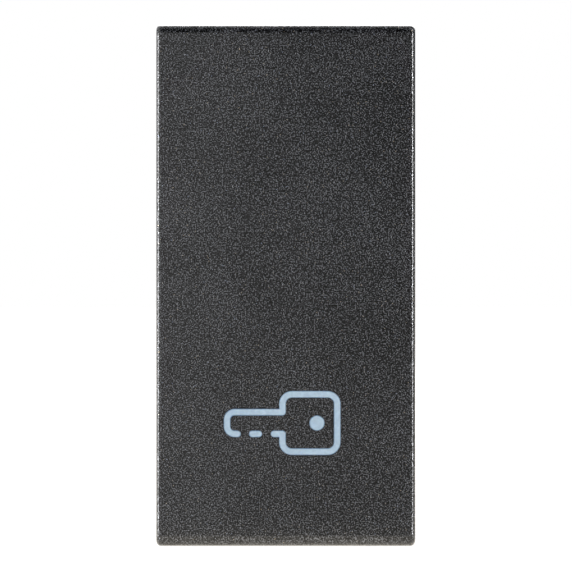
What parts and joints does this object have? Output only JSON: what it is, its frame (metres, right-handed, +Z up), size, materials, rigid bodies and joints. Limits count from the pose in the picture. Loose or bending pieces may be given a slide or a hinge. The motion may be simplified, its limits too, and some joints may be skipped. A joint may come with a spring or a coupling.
{
  "type": "illuminated push button switch",
  "caption": "Modular wall push button: tall anthracite key with a lit door-key symbol, hinged on a snap-in chassis with a push contact, lamp and spring terminals.",
  "frame": {"origin": "middle of the plane on which the button sits in its frame, behind the front flange", "axes": "+X to the right and +Z up as the user sees the key, +Y back into the wall"},
  "size_m": [0.0222, 0.035, 0.045],
  "materials": {
    "key_lacquer": "moulded key with an anthracite metallic lacquer, fine grain, satin",
    "symbol_diffuser": "translucent pale blue polycarbonate, satin",
    "carrier_plastic": "moulded white polycarbonate, fine spark texture",
    "chassis_plastic": "moulded graphite polyamide",
    "housing_plastic": "moulded light grey polyamide, glass filled",
    "cover_plastic": "moulded light grey polyamide, glass filled",
    "lever_plastic": "moulded orange acetal",
    "plunger_plastic": "moulded natural acetal",
    "brass": "punched and bent strip, bright",
    "spring_steel": "stainless spring strip and wire",
    "contact_silver": "silver alloy, crowned",
    "contact_bronze": "phosphor bronze strip",
    "board_laminate": "glass epoxy laminate with green solder mask",
    "lamp_case": "white lamp case with a clear filled cup",
    "resistor_body": "dipped beige coating, tinned leads",
    "clear_acrylic": "injection moulded clear acrylic"
  },
  "bodies": {
    "chassis": {"front_chassis": "chassis_plastic", "rear_housing": "housing_plastic", "terminal_cover": "cover_plastic", "fixed_contact_tips": "contact_silver", "live_busbar": "brass", "switched_busbar": "brass", "neutral_busbar": "brass", "lamp_board": "board_laminate", "lamp_led": "lamp_case", "lamp_resistor": "resistor_body", "light_pipe": "clear_acrylic", "plunger_return_spring": "spring_steel", "lamp_live_spring": "spring_steel", "lamp_neutral_spring": "spring_steel", "live_clamp_springs": "spring_steel", "switched_clamp_springs": "spring_steel", "neutral_clamp_springs": "spring_steel"},
    "key": {"key_cover": "key_lacquer", "symbol_light_guide": "symbol_diffuser", "key_carrier": "carrier_plastic"},
    "plunger": {"contact_plunger": "plunger_plastic", "contact_bridge": "contact_bronze", "bridge_contact_tips": "contact_silver", "bridge_spring": "spring_steel"},
    "live_lever": {"live_release_lever": "lever_plastic"},
    "switched_lever": {"switched_release_lever": "lever_plastic"},
    "neutral_lever": {"neutral_release_lever": "lever_plastic"}
  },
  "joints": [
    {"name": "key_press", "type": "hinge", "parent": "chassis", "child": "key", "pos_m": [0, -0.004, 0.0155], "axis": [1, 0, 0], "range_deg": [0, 3], "stiffness_Nm_per_rad": 0.15, "springref_deg": -20.05},
    {"name": "plunger_slide", "type": "slide", "parent": "chassis", "child": "plunger", "axis": [0, 1, 0], "range_m": [0, 0.00106], "deforming": ["plunger_return_spring"]},
    {"name": "live_lever_slide", "type": "slide", "parent": "chassis", "child": "live_lever", "axis": [0, -1, 0], "range_m": [0, 0.0015], "stiffness_N_per_m": 400, "springref_m": -0.002, "deforming": ["live_clamp_springs"]},
    {"name": "switched_lever_slide", "type": "slide", "parent": "chassis", "child": "switched_lever", "axis": [0, -1, 0], "range_m": [0, 0.0015], "stiffness_N_per_m": 400, "springref_m": -0.002, "deforming": ["switched_clamp_springs"]},
    {"name": "neutral_lever_slide", "type": "slide", "parent": "chassis", "child": "neutral_lever", "axis": [0, -1, 0], "range_m": [0, 0.0015], "stiffness_N_per_m": 400, "springref_m": -0.002, "deforming": ["neutral_clamp_springs"]}
  ],
  "couplings": [
    {"joint": "plunger_slide", "follows": "key_press", "m_per_rad": 0.0202}
  ]
}
